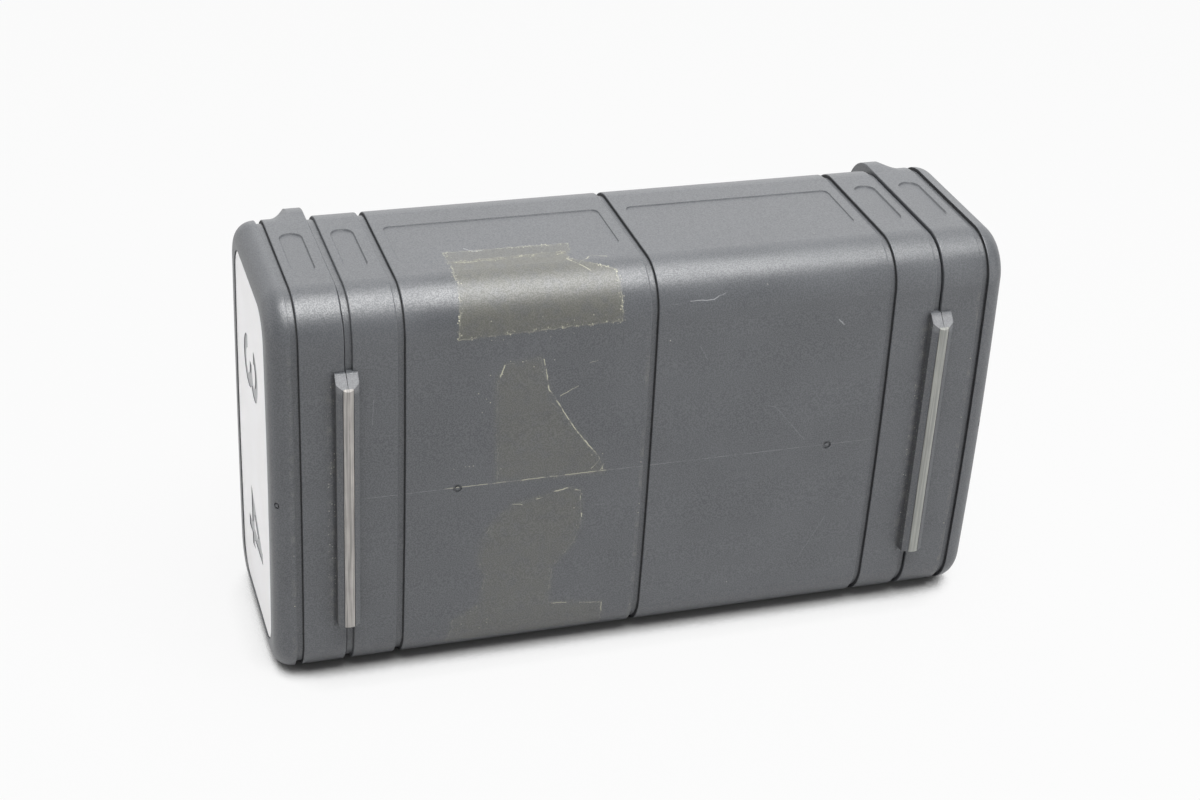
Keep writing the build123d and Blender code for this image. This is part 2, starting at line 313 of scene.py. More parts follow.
@dataclass(frozen=True)
class GlueFilm:
    """Thin yellowed film of old tape glue, with a broken cream rim where the tape was pulled off."""

    outlines: tuple[Outline, ...]
    strength: float = 0.6
    rim_strength: float = 0.8
    line_strength: float = 0.35
    lowest_z: float = 0.5
    tint: str = "#5e5d53"
    rim: str = "#b9b7a2"
    roughness: float = 0.44
    thickness: float = 0.01
    rim_height: float = 0.03
    ragged: float = 0.8
    softness: float = 0.35

    def lay(self, r: Recipe, coat: Coat) -> None:
        """Lays the film on a surface."""
        place = r.swayed(self.ragged)
        depth = r.fold("MAXIMUM", [r.depth_inside(place, outline) for outline in self.outlines])
        above_foot = r.put("ShaderNodeMapRange", r.z, self.lowest_z, self.lowest_z + 1.0, **SMOOTH)
        here = r.overlap(r.put("ShaderNodeMapRange", r.y, *FRONT_HALF, **SMOOTH), above_foot)
        patchy = r.put("ShaderNodeMapRange", r.gaps, 0.25, 0.6, 0.55, 1.0, **SMOOTH)
        covered = r.put("ShaderNodeMapRange", depth, -self.softness, self.softness, **SMOOTH)
        film = r.overlap(covered, patchy, here)
        line = r.overlap(r.band(depth, 0.05, 0.03, 0.15), self.line_strength)
        dots = r.overlap(r.band(depth, 0.1, 0.2, 0.5), r.crumbs)
        broken = r.put("ShaderNodeMapRange", r.gaps, 0.4, 0.62, 0.1, 1.0, **SMOOTH)
        rim = r.overlap(r.fold("MAXIMUM", (line, dots)), broken, here)
        coat.stain(r, r.overlap(film, self.strength), self.tint)
        coat.dull(r, film, self.roughness)
        coat.raise_by(r, film, self.thickness)
        coat.stain(r, r.overlap(rim, self.rim_strength), self.rim)
        coat.raise_by(r, rim, self.rim_height)


@dataclass(frozen=True)
class Threads:
    """Fine strokes on the skin, such as drawn-out threads of glue, hairlines or scratches."""

    strokes: tuple[Stroke, ...]
    half_width: float
    tint: str
    strength: float = 0.6
    height: float = 0.03
    sway: float = 0.5
    broken: float = 0.5

    def lay(self, r: Recipe, coat: Coat) -> None:
        """Lays the strokes on the front of a surface."""
        place = r.swayed(self.sway)
        away = r.fold("MINIMUM", [r.from_stroke(place, stroke) for stroke in self.strokes])
        core, edge = self.half_width * 0.4, self.half_width * 1.5
        line = r.put("ShaderNodeMapRange", away, core, edge, self.strength, 0.0, **SMOOTH)
        on_front = r.put("ShaderNodeMapRange", r.y, *FRONT_HALF, **SMOOTH)
        whole = r.put("ShaderNodeMapRange", r.gaps, 0.4, 0.56, 1.0 - self.broken, 1.0, **SMOOTH)
        line = r.overlap(line, on_front, whole)
        coat.stain(r, line, self.tint)
        coat.raise_by(r, line, self.height)


@dataclass(frozen=True)
class Dust:
    """Pale grains of dust caught on the skin, dense in a strip or sparse all over."""

    spacing: float
    radius: float
    share: float
    tint: str = "#b4b2a8"
    strength: float = 0.7
    height: float = 0.04
    strip_x: float | None = None
    strip_half_width: float = 0.35
    strip_fade: float = 0.8
    haze: float = 0.2
    from_z: float = 0.0
    to_z: float = 76.0
    end_fade: float = 1.5

    def at(self, x: float, from_z: float, to_z: float) -> "Dust":
        """The same dust in an upright strip of the front at x."""
        return replace(self, strip_x=x, from_z=from_z, to_z=to_z)

    def lay(self, r: Recipe, coat: Coat) -> None:
        """Lays the dust on a surface."""
        grains = r.specks(self.spacing, self.radius, self.share)
        if self.strip_x is not None:
            strip = r.band(r.x, self.strip_x, self.strip_half_width, self.strip_fade)
            middle, half_span = (self.from_z + self.to_z) / 2, (self.to_z - self.from_z) / 2
            span = r.band(r.z, middle, half_span, self.end_fade)
            here = r.overlap(strip, span, r.put("ShaderNodeMapRange", r.y, *FRONT_FACE, **SMOOTH))
            grains = r.overlap(grains, here)
            haze = r.put("ShaderNodeMapRange", r.gaps, 0.45, 0.7, 0.0, self.haze, **SMOOTH)
            coat.stain(r, r.overlap(here, haze), self.tint)
        coat.stain(r, r.overlap(grains, self.strength), self.tint)
        coat.raise_by(r, grains, self.height)


@dataclass(frozen=True)
class ShadeStrip:
    """Painted shade: a dark, duller strip in an upright corner or on the wall of a groove that runs round
    the case.
    """

    x: float
    half_width: float
    fade: float
    tint: str = "#2b2c2e"
    strength: float = 0.85
    roughness: float = 0.7
    span: Point | None = None

    def at(self, x: float) -> "ShadeStrip":
        """The same painted shade at another place along the case."""
        return replace(self, x=x)

    def lay(self, r: Recipe, coat: Coat) -> None:
        """Lays the painted shade on a surface, and only on its front if it has a span."""
        here = r.band(r.x, self.x, self.half_width, self.fade)
        if self.span is not None:
            low, high = self.span
            reach = r.band(r.z, (low + high) / 2, (high - low) / 2, 0.5)
            patchy = r.put("ShaderNodeMapRange", r.gaps, 0.3, 0.6, 0.5, 1.0, **SMOOTH)
            here = r.overlap(here, reach, r.put("ShaderNodeMapRange", r.y, *FRONT_FACE, **SMOOTH), patchy)
        coat.stain(r, r.overlap(here, self.strength), self.tint)
        coat.dull(r, here, self.roughness)


@dataclass(frozen=True)
class StressWhiteningAndHighlight:
    """Pale stress whitening where the plastic of a hinge ridge was strained at its sloped top end, with a
    painted highlight where that slope faces up.
    """

    ridge_x: float
    # One colour for the stress whitening and the painted highlight of the sloped top end.
    whitening_and_highlight: str = "#737476"
    half_width: float = 1.6
    foot_y: float = -22.3
    lowest_z: float = 60.5
    strength: float = 0.9
    roughness: float = 0.6

    def lay(self, r: Recipe, coat: Coat) -> None:
        """Lays the whitening and painted highlight on a surface."""
        across = r.band(r.x, self.ridge_x, self.half_width, 0.7)
        proud = r.put("ShaderNodeMapRange", r.y, self.foot_y - 0.5, self.foot_y, 1.0, 0.0, **SMOOTH)
        top_end = r.put("ShaderNodeMapRange", r.z, self.lowest_z - 0.4, self.lowest_z + 0.3, **SMOOTH)
        share = r.overlap(across, proud, top_end, r.patches(0.7, 3.0, (0.3, 0.65), (0.55, 1.0)))
        coat.stain(r, r.overlap(share, self.strength), self.whitening_and_highlight)
        coat.dull(r, share, self.roughness)


Mark = GlueFilm | Threads | Dust | ShadeStrip | StressWhiteningAndHighlight
# Painted shade on the wall of each groove that faces -X.
GROOVE_WALL_SHADE = ShadeStrip(x=0.0, half_width=0.06, fade=0.08)
# Painted shade at the foot of each hinge ridge, patchy, on the front only.
RIDGE_ROOT_SHADE = ShadeStrip(x=0.0, half_width=0.12, fade=0.25, tint="#3c3d3f", strength=0.7, span=(12.0, 63.5))
HINGE_DUST = Dust(spacing=0.55, radius=0.15, share=0.4, tint="#aeaca2", strength=0.85, haze=0.1)
GROOVE_DUST = Dust(
    spacing=0.9,
    radius=0.16,
    share=0.35,
    tint="#b5b19e",
    strength=0.85,
    strip_half_width=0.2,
    strip_fade=0.5,
    haze=0.07,
)


@dataclass(frozen=True)
class CasePlastic:
    """High-impact polystyrene moulded in a spark-eroded tool.

    The eye sees a satin, slightly blue grey whose fine grain sparkles where a light glances off it. The
    real grain is near a tenth of a millimetre and is drawn twice as coarse, so that it shows.
    """

    base: str = "#4c4e51"
    pale: str = "#525457"
    cloud: float = 16.0
    roughness: float = 0.4
    spread: float = 0.02
    index: float = 1.59
    grain: float = 0.22
    grain_height: float = 0.02
    grain_share: float = 0.15
    dimmest: float = 0.36
    brightest: float = 0.69

    def material(self, name: str, marks: Sequence[Mark] = ()) -> bpy.types.Material:
        """Builds the material.

        Args:
            name: Name of the material.
            marks: Marks to lay on the plastic, lowest first.

        Returns:
            The material.
        """
        r = Recipe(name)
        clouds = r.patches(self.cloud, 3.0, (0.3, 0.7))
        grain = r.put("ShaderNodeTexNoise", r.place, inputs={"Scale": 1 / self.grain, "Detail": 1.0})
        fleck = r.put("ShaderNodeMapRange", grain, 0.3, 0.7, **SMOOTH)
        lowest, highest = self.roughness - self.spread, self.roughness + self.spread
        rough = r.put("ShaderNodeMapRange", clouds, 0.0, 1.0, lowest, highest, **SMOOTH)
        sparkle = r.put("ShaderNodeMapRange", grain, 0.4, 0.6, self.dimmest, self.brightest, **SMOOTH)
        coat = Coat(linear_colour(self.base), rough)
        coat.stain(r, r.put("ShaderNodeMix", self.grain_share, inputs={2: clouds, 3: fleck}), self.pale)
        coat.raise_by(r, grain, self.grain_height)
        for mark in marks:
            mark.lay(r, coat)
        return r.finish(coat, IOR=self.index, Specular_IOR_Level=sparkle)


@dataclass(frozen=True)
class WhitenedWeb:
    """Polystyrene gone pale and stringy from bending, with fine streaks along the fold."""

    pale: str = "#a8a49f"
    streak: str = "#7e7b78"
    crease: str = "#827f7b"
    roughness: float = 0.5
    rubbed_roughness: float = 0.42
    index: float = 1.59
    streak_pitch: tuple[float, float, float] = (4.5, 1.0, 0.09)
    streak_height: float = 0.03
    crease_shift: float = 0.12

    def material(self, hinge_x: float) -> bpy.types.Material:
        """Builds the material of the web on the hinge at hinge_x."""
        r = Recipe(f"hinge_web_{'left' if hinge_x < 0 else 'right'}")
        drawn_out = r.put("ShaderNodeVectorMath", r.place, self.streak_pitch, operation="MULTIPLY")
        streaks = r.put("ShaderNodeTexNoise", drawn_out, inputs={"Scale": 1.0, "Detail": 3.0})
        levels = (self.rubbed_roughness, self.roughness)
        rough = r.put("ShaderNodeMapRange", streaks, 0.3, 0.7, *levels, **SMOOTH)
        coat = Coat(linear_colour(self.streak), rough)
        coat.stain(r, r.put("ShaderNodeMapRange", streaks, 0.35, 0.62, **SMOOTH), self.pale)
        coat.raise_by(r, streaks, self.streak_height)
        coat.stain(r, r.patches(2.5, 3.0, (0.35, 0.7), (0.0, 0.35)), self.crease)
        crease = r.band(r.x, hinge_x + self.crease_shift, 0.05, 0.12)
        coat.stain(r, r.overlap(crease, r.patches(4.0, 2.0, (0.4, 0.6), (0.2, 0.8))), self.streak)
        return r.finish(coat, IOR=self.index)


WEB_FINISH = {
    Side.LEFT: WhitenedWeb(),
    Side.RIGHT: WhitenedWeb(pale="#93948e", streak="#7c7d79", crease="#7f807b"),
}


@dataclass(frozen=True)
class PlatePlastic:
    """Near-white polystyrene plate, satin from its tool, with engraved numerals whose shade is painted in:
    dark on their walls, light grey on their floors.
    """

    face: str = "#fbfafa"
    shade: str = "#f6f5f4"
    # Painted shade of the numerals: light grey on their floors, dark on their walls.
    fill: str = "#b4b5b6"
    wall_shade: str = "#6b6c6e"
    roughness: float = 0.4
    wall_shade_roughness: float = 0.6
    index: float = 1.59
    fill_depth: float = 0.13
    middle_z: float = 38.0
    numerals_reach: float = 31.0
    skin_height: float = 0.006
    dust: Dust = Dust(spacing=4.0, radius=0.16, share=0.2, tint="#8f8d88", strength=0.5)

    def material(self, side: Side, face_x: float) -> bpy.types.Material:
        """Builds the material of one plate.

        Args:
            side: End of the case that the plate is on.
            face_x: Distance in millimetres from the middle of the case to the plate's outer face.

        Returns:
            The material.
        """
        r = Recipe(f"number_plate_{side.label}")
        from_middle = r.put("ShaderNodeMath", r.x, operation="ABSOLUTE")
        depth = r.put("ShaderNodeMath", face_x, from_middle, operation="SUBTRACT")
        sunk = r.put("ShaderNodeMapRange", depth, 0.02, 0.05, **SMOOTH)
        numerals = r.overlap(sunk, r.band(r.z, self.middle_z, self.numerals_reach, 0.5))
        floor = r.put("ShaderNodeMapRange", depth, self.fill_depth, self.fill_depth + 0.05, **SMOOTH)
        roughnesses = (self.roughness - 0.04, self.roughness + 0.06)
        coat = Coat(linear_colour(self.face), r.patches(3.0, 2.0, (0.3, 0.7), roughnesses))
        coat.stain(r, r.patches(14.0, 3.0, (0.35, 0.7)), self.shade)
        skin = r.put("ShaderNodeTexNoise", r.place, inputs={"Scale": 2.0, "Detail": 1.0})
        coat.raise_by(r, skin, self.skin_height)
        # Painted shade in the numerals: dark on the walls, light grey on the floors.
        coat.stain(r, numerals, self.wall_shade)
        coat.stain(r, r.overlap(numerals, floor), self.fill)
        coat.dull(r, numerals, self.wall_shade_roughness)
        self.dust.lay(r, coat)
        return r.finish(coat, IOR=self.index)


@dataclass(frozen=True)
class TrayPlastic:
    """Black moulded polystyrene of the film trays and lid pans, rubbed brighter where the cans slide in."""

    base: str = "#202124"
    rubbed: str = "#2c2d31"
    roughness: float = 0.42
    rubbed_roughness: float = 0.34
    index: float = 1.59
    rub_pitch: tuple[float, float, float] = (0.08, 1.2, 1.2)
    grain: float = 0.42
    grain_height: float = 0.01
    dust: Dust = Dust(spacing=3.0, radius=0.14, share=0.12, strength=0.4)

    def material(self) -> bpy.types.Material:
        """Builds the material."""
        r = Recipe("tray_plastic")
        along = r.put("ShaderNodeVectorMath", r.place, self.rub_pitch, operation="MULTIPLY")
        lines = r.put("ShaderNodeTexNoise", along, inputs={"Scale": 1.0, "Detail": 3.0})
        rubs = r.put("ShaderNodeMapRange", lines, 0.45, 0.7, **SMOOTH)
        coat = Coat(linear_colour(self.base), self.roughness)
        coat.stain(r, rubs, self.rubbed)
        coat.dull(r, rubs, self.rubbed_roughness)
        grain = r.put("ShaderNodeTexNoise", r.place, inputs={"Scale": 1 / self.grain, "Detail": 1.0})
        coat.raise_by(r, grain, self.grain_height)
        self.dust.lay(r, coat)
        return r.finish(coat, IOR=self.index)


@dataclass(frozen=True)
class RolledLead:
    """Rolled lead sheet, half a millimetre thick: blue-grey metal under a dull oxide, with roller lines."""

    metal: str = "#8b8f96"
    oxide: str = "#6c6f75"
    metal_roughness: float = 0.4
    oxide_roughness: float = 0.6
    roller_pitch: tuple[float, float, float] = (0.1, 2.2, 2.2)
    roller_height: float = 0.01
    dent: float = 4.0
    dent_height: float = 0.12

    def material(self) -> bpy.types.Material:
        """Builds the material."""
        r = Recipe("lead_sheet")
        blotches = r.patches(6.0, 4.0, (0.35, 0.65))
        coat = Coat(linear_colour(self.metal), self.metal_roughness)
        coat.stain(r, blotches, self.oxide)
        coat.dull(r, blotches, self.oxide_roughness)
        along = r.put("ShaderNodeVectorMath", r.place, self.roller_pitch, operation="MULTIPLY")
        lines = r.put("ShaderNodeTexNoise", along, inputs={"Scale": 1.0, "Detail": 2.0})
        coat.raise_by(r, lines, self.roller_height)
        dents = r.put("ShaderNodeTexNoise", r.place, inputs={"Scale": 1 / self.dent, "Detail": 1.0})
        coat.raise_by(r, dents, self.dent_height)
        return r.finish(coat, Metallic=1.0)


@dataclass(frozen=True)
class PaleSweep:
    """Matt white paper of the studio table."""

    paper: str = "#b9b9bb"
    fibre: str = "#b2b2b4"
    white: float = 1.03
    share_white: float = 0.88
    shadow_reach: float = 12.0
    shadow_albedo: float = 0.28
    shadow_fade: Point = (0.375, 0.555)

    def material(self) -> bpy.types.Material:
        """Builds the material, which shows nearly white except for a painted contact shadow where the case
        all but touches it.
        """
        r = Recipe("pale_sweep")
        coat = Coat(linear_colour(self.paper), 1.0)
        coat.stain(r, r.patches(0.8, 2.0, (0.3, 0.7), (0.0, 0.5)), self.fibre)
        lit = r.put("ShaderNodeBsdfDiffuse", coat.colour)
        ray = add_node(r.tree, "ShaderNodeLightPath")
        seen = r.fold("MAXIMUM", (ray.outputs["Is Camera Ray"], ray.outputs["Is Glossy Ray"]))
        # Painted contact shadow: where ambient occlusion finds the case close by, camera and gloss rays see
        # dark diffuse paper lit by the lamps, instead of the white glow.
        reach = {"Distance": self.shadow_reach * MM}
        open_sky = r.put("ShaderNodeAmbientOcclusion", inputs=reach, output="AO", samples=8)
        fade = (*self.shadow_fade, 0.0, self.share_white)
        white_share = r.put("ShaderNodeMapRange", open_sky, *fade, **SMOOTH)
        contact_shadow = r.put("ShaderNodeBsdfDiffuse", (*(self.shadow_albedo,) * 3, 1.0))
        glow = r.put("ShaderNodeEmission", inputs={"Color": (1, 1, 1, 1), "Strength": self.white})
        shown = r.put("ShaderNodeMixShader", white_share, contact_shadow, glow)
        surface = r.put("ShaderNodeMixShader", seen, lit, shown)
        add_node(r.tree, "ShaderNodeOutputMaterial", {"Surface": surface})
        return r.material


@dataclass
class Mouldings:
    """Grey outer skin of the case: the body shell and the shells of its two end lids, with their wear, and
    painted shade and highlight at the grooves and hinge ridges.
    """

    nodes: dict[str, bpy.types.Object]
    hinge_x: float = 54.65
    body_groove_x: float = 44.95
    lid_groove_x: float = 63.1
    groove_shade: float = 0.56
    root_shift: float = 2.2
    hinge_dust_shift: float = 2.6
    hinge_dust_span: Point = (14.0, 61.0)
    groove_dust_shift: float = 0.95
    groove_dust_span: Point = (3.0, 66.0)
    plastic: CasePlastic = field(default_factory=CasePlastic)
    tape_glue: GlueFilm = GlueFilm(
        (
            ((-35.2, 67.8), (-6.0, 68.5), (-6.0, 81.2), (-13.0, 86.0), (-33.9, 86.0)),
            ((-34.6, 82.0), (-13.6, 82.0), (-13.2, 89.0), (-33.9, 88.6)),
        )
    )
    faint_glue: GlueFilm = GlueFilm(
        (((-34.2, 88.0), (-12.6, 88.0), (-11.7, 92.2), (-34.2, 92.6)),), strength=0.4
    )
    front_glue: GlueFilm = GlueFilm(
        (
            ((-28.2, 51.0), (-17.4, 51.0), (-18.8, 56.0), (-20.0, 62.9), (-27.0, 62.0), (-28.4, 58.9)),
            (
                (-27.8, 38.3),
                (-8.3, 37.8),
                (-8.2, 38.8),
                (-9.2, 41.0),
                (-13.8, 47.4),
                (-17.8, 53.2),
                (-28.3, 53.2),
            ),
            (
                (-29.6, 18.2),
                (-16.9, 18.2),
                (-13.2, 23.2),
                (-11.8, 28.8),
                (-12.4, 34.6),
                (-14.7, 35.4),
                (-24.9, 33.2),
                (-28.2, 30.0),
                (-30.3, 26.3),
                (-30.9, 21.7),
            ),
            ((-30.5, 9.6), (-17.3, 9.7), (-16.9, 20.2), (-29.4, 20.2)),
            ((-36.2, 1.5), (-6.7, 1.5), (-6.9, 8.4), (-30.0, 12.0), (-35.3, 8.4)),
        ),
        strength=0.42,
        rim_strength=0.25,
        softness=1.2,
    )
    torn_rims: Threads = Threads(
        (
            ((-20.0, 62.4), (-18.9, 56.2)),
            ((-18.9, 56.2), (-13.8, 47.4)),
            ((-13.8, 47.4), (-9.2, 41.2)),
            ((-9.2, 41.2), (-8.3, 38.6)),
            ((-17.5, 34.9), (-14.7, 35.4)),
            ((-14.7, 35.4), (-12.4, 34.6)),
            ((-12.4, 34.6), (-11.8, 28.8)),
            ((-28.0, 59.0), (-27.0, 61.9)),
        ),
        half_width=0.1,
        tint="#b9b7a2",
        strength=0.75,
        broken=0.95,
    )
    glue_threads: Threads = Threads(
        (
            ((-16.9, 54.6), (-13.6, 56.3)),
            ((-11.6, 60.7), (-10.2, 61.1)),
            ((-10.5, 38.9), (-9.2, 40.3)),
            ((-8.2, 39.6), (-8.8, 38.2)),
            ((-20.5, 33.7), (-19.3, 34.0)),
            ((-24.9, 33.3), (-23.1, 33.0)),
            ((-16.2, 9.6), (-13.7, 9.4)),
            ((-11.1, 8.9), (-7.2, 8.4)),
            ((-6.8, 8.2), (-6.8, 6.0)),
            ((-13.8, 86.0), (-10.5, 81.4)),
            ((-12.1, 84.0), (-9.2, 86.5)),
            ((-9.2, 86.5), (-6.6, 85.6)),
        ),
        half_width=0.08,
        tint="#b3b19c",
        broken=0.7,
    )
    hairs: Threads = Threads(
        (
            ((-30.2, 93.5), (-28.9, 92.2)),
            ((-28.9, 92.2), (-27.3, 92.2)),
            ((6.4, 71.2), (10.4, 71.1)),
            ((10.4, 71.1), (12.9, 72.3)),
            ((34.8, 64.3), (36.0, 63.2)),
        ),
        half_width=0.1,
        tint="#a9aaac",
        strength=0.5,
    )
    scratches: Threads = Threads(
        (
            ((8.6, 61.8), (10.3, 58.7)),
            ((22.6, 47.9), (24.1, 47.4)),
            ((24.1, 47.4), (30.3, 39.8)),
            ((-49.9, 57.7), (-50.1, 52.8)),
            ((31.4, 11.8), (36.5, 22.0)),
            ((1.0, 70.8), (4.8, 70.9)),
            ((-9.4, 31.1), (-7.8, 30.9)),
        ),
        half_width=0.08,
        tint="#86888a",
        strength=0.26,
        height=-0.02,
        sway=0.25,
    )
    witness_line: Threads = Threads(
        (((-52.0, 38.15), (45.7, 38.15)),),
        half_width=0.07,
        tint="#818284",
        strength=0.45,
        sway=0.12,
        broken=0.6,
    )
    glued_line: Threads = Threads(
        (((-37.5, 38.2), (-6.5, 38.2)),), half_width=0.08, tint="#b0ae98", sway=0.2, broken=0.85
    )
    stray_dust: Dust = Dust(spacing=3.0, radius=0.17, share=0.07)
    crumb: Dust = Dust(spacing=0.7, radius=0.15, share=0.16, tint="#b9b7a2", strip_fade=1.5, haze=0.0)
    crumb_patches: tuple[tuple[float, float, float, float], ...] = (
        (-30.0, 1.2, 52.0, 60.0),
        (-24.0, 4.0, 59.5, 62.5),
        (-10.0, 1.5, 38.5, 43.0),
        (-12.5, 1.0, 27.0, 35.5),
        (-34.0, 1.5, 39.5, 46.0),
        (-31.0, 3.0, 2.0, 9.0),
        (-22.0, 12.0, 66.5, 69.5),
    )

    def marks(self, sides: Sequence[Side], grooves: Sequence[float]) -> list[Mark]:
        """Wear that every shell has near its hinges and grooves, with painted shade on the groove walls and
        at the foot of each ridge, and a painted highlight on each ridge's top end.

        Args:
            sides: Ends of the case where the shell has a hinge.
            grooves: Places along X of the shell's grooves.

        Returns:
            The marks, lowest first.
        """
        laid: list[Mark] = [self.stray_dust]
        for side in sides:
            x = side.value * self.hinge_x
            # Painted shade at the foot of the ridge.
            laid.append(RIDGE_ROOT_SHADE.at(x - self.root_shift))
            # Stress whitening with a painted highlight on the ridge's sloped top end.
            laid.append(StressWhiteningAndHighlight(x))
            laid.append(HINGE_DUST.at(x - self.hinge_dust_shift, *self.hinge_dust_span))
        for x in grooves:
            # Painted shade on the wall of each groove that faces -X.
            laid.append(GROOVE_WALL_SHADE.at(x + self.groove_shade))
        dusty = min(grooves, key=abs) - self.groove_dust_shift
        laid.append(GROOVE_DUST.at(dusty, *self.groove_dust_span))
        return laid

    def dress(self) -> None:
        """Gives each shell its plastic with its own wear and painted shade."""
        body_marks = self.marks(tuple(Side), (-self.body_groove_x, 0.0, self.body_groove_x))
        body_marks += [self.witness_line, self.scratches, self.tape_glue, self.faint_glue, self.front_glue]
        body_marks += [self.glued_line, self.torn_rims, self.glue_threads, self.hairs]
        for x, half_width, low, high in self.crumb_patches:
            body_marks.append(replace(self.crumb, strip_half_width=half_width).at(x, low, high))
        body = self.plastic.material("case_plastic_body", body_marks)
        dress_node(self.nodes["body_shell"], body)
        for side in Side:
            lid_marks = self.marks((side,), (side.value * self.lid_groove_x,))
            lid = self.plastic.material(f"case_plastic_{side.lid}", lid_marks)
            dress_node(self.nodes[f"{side.label}_lid_shell"], lid)


@dataclass
class HingeWeb:
    """Thin arched bridge of plastic at the crest of a hinge ridge, which bends as the lid swings."""

    side: Side
    rise: float = 0.2
    top_slope: float = 1.05
    bottom_slope: float = 0.15
    steps_across: int = 16
    finish: WhitenedWeb = field(default_factory=WhitenedWeb)

    @property
    def node(self) -> str:
        """Name of the solid that this mesh stands for."""
        return f"{self.side.label}_hinge_web"

    def section(self, shape: bmesh.types.BMesh, low: Vector, high: Vector) -> list[bmesh.types.BMFace]:
        """Spins the web's arched top line and closes it down to the flat underside.

        Args:
            shape: Mesh that gets the section.
            low: Lowest corner of the web's box.
            high: Highest corner of the web's box.

        Returns:
            Faces of the section, in the plane of the web's bottom.
        """
        half_width = (high.x - low.x) / 2
        rise = self.rise * MM
        radius = (half_width**2 + rise**2) / (2 * rise)
        centre = Vector((low.x + half_width, low.y + radius, low.z))
        corner = shape.verts.new((low.x, low.y + rise, low.z))
        sweep = 2 * math.asin(half_width / radius)
        bmesh.ops.spin(
            shape,
            geom=[corner],
            cent=centre,
            axis=(0, 0, 1),
            angle=sweep,
            steps=self.steps_across,
            use_duplicate=False,
        )
        lowered = bmesh.ops.extrude_edge_only(shape, edges=shape.edges[:])
        under = [item for item in lowered["geom"] if isinstance(item, bmesh.types.BMVert)]
        bmesh.ops.scale(shape, vec=(1, 0, 1), verts=under)
        bmesh.ops.translate(shape, vec=(0, high.y, 0), verts=under)
        return shape.faces[:]

    def build(self) -> bpy.types.Object:
        """Builds the web in its solid's place.

        Returns:
            The new piece.
        """
        low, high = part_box(self.node)
        shape = bmesh.new()
        faces = self.section(shape, low, high)
        lifted = bmesh.ops.extrude_face_region(shape, geom=faces)
        upper = [item for item in lifted["geom"] if isinstance(item, bmesh.types.BMVert)]
        bmesh.ops.translate(shape, vec=(0, 0, high.z - low.z), verts=upper)
        for z, slope, up in ((high.z, self.top_slope, 1), (low.z, self.bottom_slope, -1)):
            geometry = [*shape.verts, *shape.edges, *shape.faces]
            outward = Vector((0, -slope, up)).normalized()
            corner = (0, high.y, z)
            bmesh.ops.bisect_plane(
                shape, geom=geometry, plane_co=corner, plane_no=outward, clear_outer=True
            )
            bmesh.ops.holes_fill(shape, edges=shape.edges, sides=0)
        bmesh.ops.remove_doubles(shape, verts=shape.verts, dist=1e-6)
        bmesh.ops.recalc_face_normals(shape, faces=shape.faces)
        web = mesh_object(f"{self.node}_skin", shape)
        centre_x = (low.x + high.x) / 2
        web.data.materials.append(self.finish.material(centre_x / MM))
        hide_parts(self.node)
        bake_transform(web)
        return web


@dataclass
class NumberPlates:
    """Near-white plates in the ends of the lids."""

    nodes: dict[str, bpy.types.Object]
    finish: PlatePlastic = field(default_factory=PlatePlastic)

    def dress(self) -> None:
        """Gives each plate its plastic, with painted shade in the numerals by depth."""
        for side in Side:
            name = f"{side.label}_number_plate"
            face_x = max(abs(corner.x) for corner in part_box(name)) / MM
            dress_node(self.nodes[name], self.finish.material(side, face_x))


@dataclass
class Lining:
    """Lead lining and the black trays and pans that hold it."""

    nodes: dict[str, bpy.types.Object]
    lead: RolledLead = field(default_factory=RolledLead)
    tray: TrayPlastic = field(default_factory=TrayPlastic)
    lead_pieces: tuple[str, ...] = ("body_lead_wrap", "body_lead_floor", "lid_lead_wrap", "lid_lead_sheet")
    plastic_pieces: tuple[str, ...] = ("film_tray", "lid_pan")

    def dress(self) -> None:
        """Gives the lining its lead and its black plastic."""
        for pieces, finish in ((self.lead_pieces, self.lead), (self.plastic_pieces, self.tray)):
            material = finish.material()
            for side in Side:
                for piece in pieces:
                    dress_node(self.nodes[f"{side.label}_{piece}"], material)


@dataclass(frozen=True)
class Softbox:
    """Square studio lamp that points at the case."""

    name: str
    towards: tuple[float, float, float]
    distance: float
    width: float
    radiance: float

    def build(self) -> bpy.types.Object:
        """Hangs the lamp and aims it."""
        lamp = bpy.data.lights.new(self.name, "AREA")
        lamp.size = self.width
        lamp.energy = self.radiance * math.pi * self.width**2
        holder = bpy.data.objects.new(self.name, lamp)
        bpy.context.scene.collection.objects.link(holder)
        direction = Vector(self.towards).normalized()
        holder.location = direction * self.distance
        holder.rotation_euler = direction.to_track_quat("Z", "Y").to_euler()
        holder.visible_camera = False
        return holder


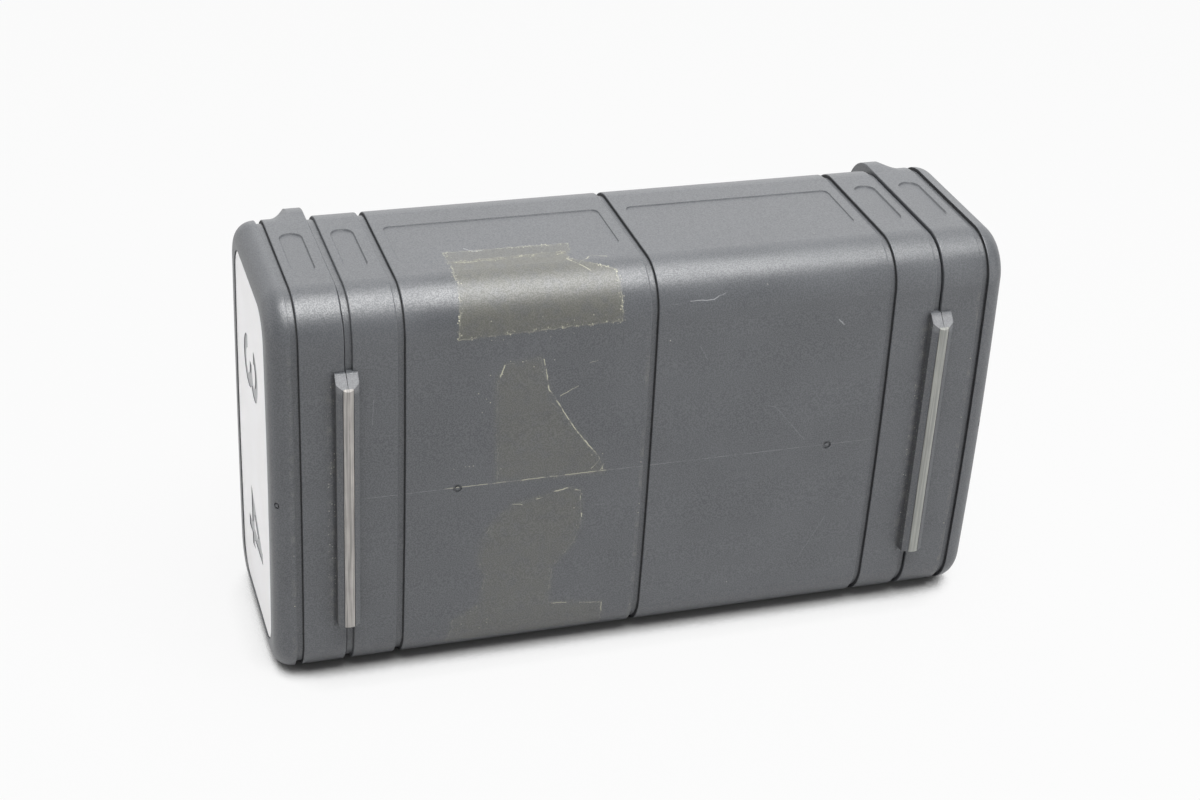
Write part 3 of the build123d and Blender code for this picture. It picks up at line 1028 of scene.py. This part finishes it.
@dataclass
class Studio:
    """Pale table, soft lamps, bright surroundings and the camera."""

    floor_half_width: float = 3000.0
    ambient: float = 0.33
    sweep: PaleSweep = field(default_factory=PaleSweep)
    room: float = 0.1
    backdrop_white: float = 1.0
    backdrop: tuple[float, float, float] = (0.25, 0.94, 0.2)
    backdrop_fade: Point = (0.25, 0.65)
    lamps: tuple[Softbox, ...] = (
        Softbox("overhead_softbox", (0.08, -0.2, 0.975), 1.0, 0.75, 10.0),
        Softbox("back_softbox", (0.25, 0.85, 0.42), 1.3, 1.1, 0.6),
        Softbox("left_softbox", (-0.95, 0.25, 0.25), 1.0, 0.8, 1.2),
        Softbox("right_softbox", (0.75, -0.6, 0.25), 0.42, 0.3, 1.4),
    )
    eye: tuple[float, float, float] = (-116.9, -338.7, 243.0)
    view: tuple[float, float, float] = (0.2791, 0.8231, -0.4945)
    up: tuple[float, float, float] = (0.1039, 0.4861, 0.8677)
    lens: float = 65.77
    sensor: float = 36.0

    def lay_floor(self) -> bpy.types.Object:
        """Lays the table that the case stands on."""
        shape = bmesh.new()
        bmesh.ops.create_grid(shape, x_segments=2, y_segments=2, size=self.floor_half_width * MM)
        floor = mesh_object("floor", shape)
        floor.data.materials.append(self.sweep.material())
        return floor

    def surround(self) -> None:
        """Makes the surroundings white to the eye, and dimmer in gloss and as light on the case."""
        world = bpy.data.worlds.new("studio")
        bpy.context.scene.world = world
        world.use_nodes = True
        tree = world.node_tree
        tree.nodes.clear()
        ray = add_node(tree, "ShaderNodeLightPath").outputs
        kinds = {0: ray["Is Camera Ray"], 1: ray["Is Glossy Ray"]}
        through = {0: add_node(tree, "ShaderNodeMath", kinds).outputs[0], 1: ray["Is Transmission Ray"]}
        seen = add_node(tree, "ShaderNodeMath", through, use_clamp=True).outputs[0]
        aims = {0: add_node(tree, "ShaderNodeTexCoord").outputs["Generated"], 1: self.backdrop}
        towards = add_node(tree, "ShaderNodeVectorMath", aims, operation="DOT_PRODUCT")
        levels = (towards.outputs["Value"], *self.backdrop_fade, self.room, self.backdrop_white)
        glossy = add_node(tree, "ShaderNodeMapRange", dict(enumerate(levels)), **SMOOTH).outputs["Result"]
        shown = add_node(tree, "ShaderNodeMix", {0: ray["Is Glossy Ray"], 2: 1.0, 3: glossy}).outputs[0]
        strength = add_node(tree, "ShaderNodeMix", {0: seen, 2: self.ambient, 3: shown}).outputs[0]
        background = add_node(tree, "ShaderNodeBackground", {"Color": (1, 1, 1, 1), "Strength": strength})
        add_node(tree, "ShaderNodeOutputWorld", {"Surface": background.outputs[0]})

    def place_camera(self) -> None:
        """Stands the camera where the photograph was taken from."""
        data = bpy.data.cameras.new("camera")
        data.lens = self.lens
        data.sensor_width = self.sensor
        data.clip_start = 0.01
        camera = bpy.data.objects.new("camera", data)
        bpy.context.scene.collection.objects.link(camera)
        view = Vector(self.view).normalized()
        right = view.cross(Vector(self.up)).normalized()
        turn = Matrix((right, right.cross(view), -view)).transposed().to_4x4()
        camera.matrix_world = Matrix.Translation(Vector(self.eye) * MM) @ turn
        bpy.context.scene.camera = camera

    def build(self) -> None:
        """Sets up the table, the surroundings, the lamps and the camera."""
        self.lay_floor()
        self.surround()
        for lamp in self.lamps:
            lamp.build()
        self.place_camera()
        bpy.context.scene.view_settings.view_transform = "Standard"


def mesh_object(name: str, shape: bmesh.types.BMesh) -> bpy.types.Object:
    """Turns a finished bmesh into an object at the origin and frees it."""
    mesh = bpy.data.meshes.new(name)
    shape.to_mesh(mesh)
    shape.free()
    piece = bpy.data.objects.new(name, mesh)
    bpy.context.scene.collection.objects.link(piece)
    return piece


def dress_node(node: bpy.types.Object, material: bpy.types.Material) -> None:
    """Gives a carried-over solid its one material."""
    node.data.materials.clear()
    node.data.materials.append(material)
    LOG.info("%s: %d triangles in %s", node.name, len(node.data.polygons), material.name)


def main() -> None:
    """Dresses and builds the case, then sets up the studio."""
    logging.basicConfig(level=logging.INFO, format="%(name)s: %(message)s")
    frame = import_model()
    nodes = frame["nodes"]
    Mouldings(nodes).dress()
    NumberPlates(nodes).dress()
    Lining(nodes).dress()
    for side in Side:
        web = HingeWeb(side, finish=WEB_FINISH[side]).build()
        LOG.info("%s: %d faces between case_body and %s", web.name, len(web.data.polygons), side.lid)
    Studio().build()


if __name__ == "__main__":
    main()
